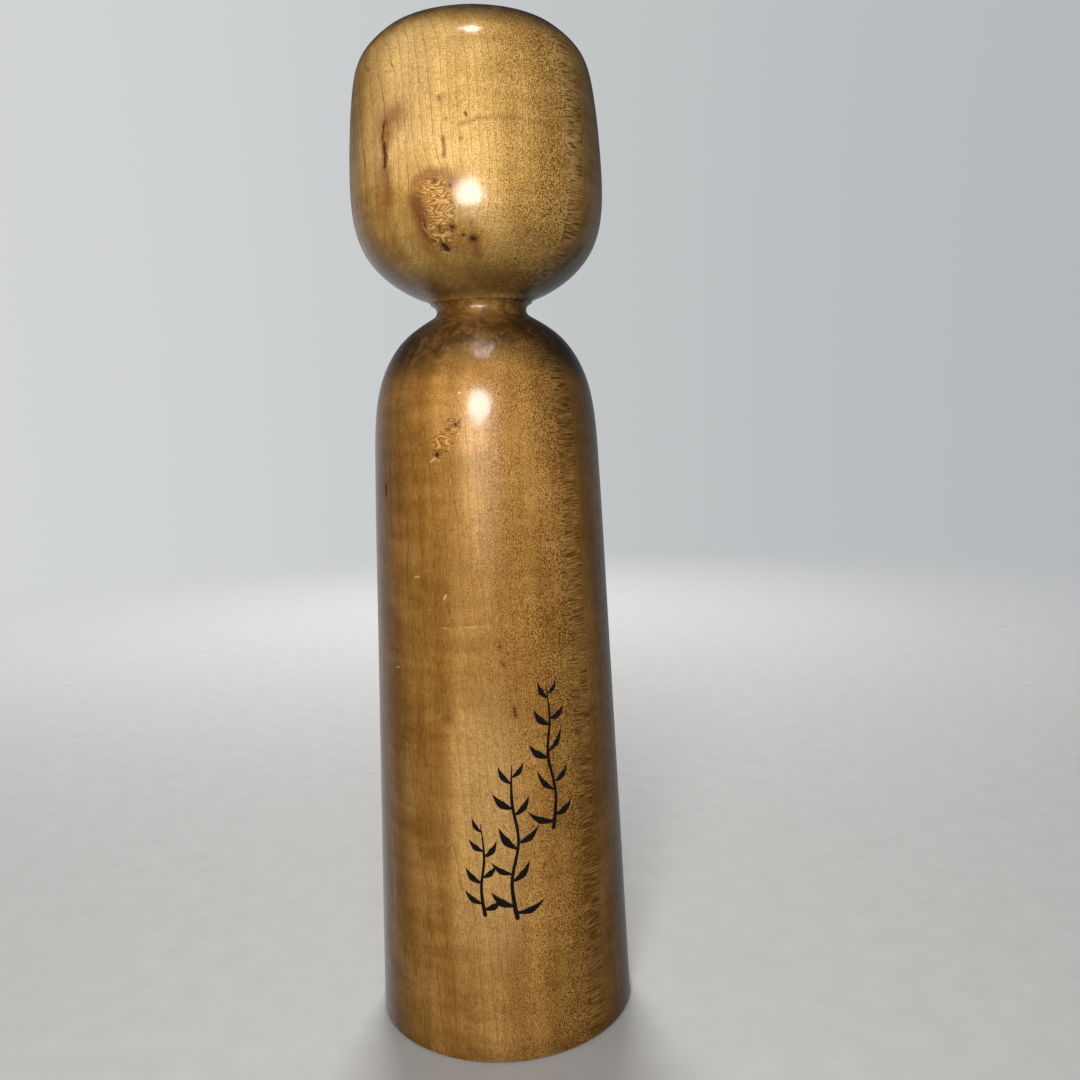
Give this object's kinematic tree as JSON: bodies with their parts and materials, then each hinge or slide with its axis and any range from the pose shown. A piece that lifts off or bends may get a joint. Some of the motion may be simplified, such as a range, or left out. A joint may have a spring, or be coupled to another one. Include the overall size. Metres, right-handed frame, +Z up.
{
  "type": "kokeshi doll",
  "caption": "Tall turned wooden doll: a plain tapered body on a flat foot, a narrow neck and a tall rounded head that turns on its tenon.",
  "frame": {"origin": "centre of the foot, on the surface that the doll stands on", "axes": "+Z up along the doll's own axis; the doll's face looks towards -Y"},
  "size_m": [0.119, 0.119, 0.45],
  "materials": {
    "body_wood": "aged honey-brown wood under glossy varnish",
    "head_wood": "aged golden wood under glossy varnish",
    "black_ink": "brushed black ink under the varnish",
    "red_dye": "brushed red dye under the varnish",
    "green_dye": "brushed green dye under the varnish"
  },
  "bodies": {
    "body": {"body": "body_wood"},
    "head": {"head": "head_wood"}
  },
  "joints": [
    {"name": "head_turn", "type": "hinge", "parent": "body", "child": "head", "pos_m": [0, 0, 0.3288], "axis": [0, 0, 1], "continuous": true}
  ]
}
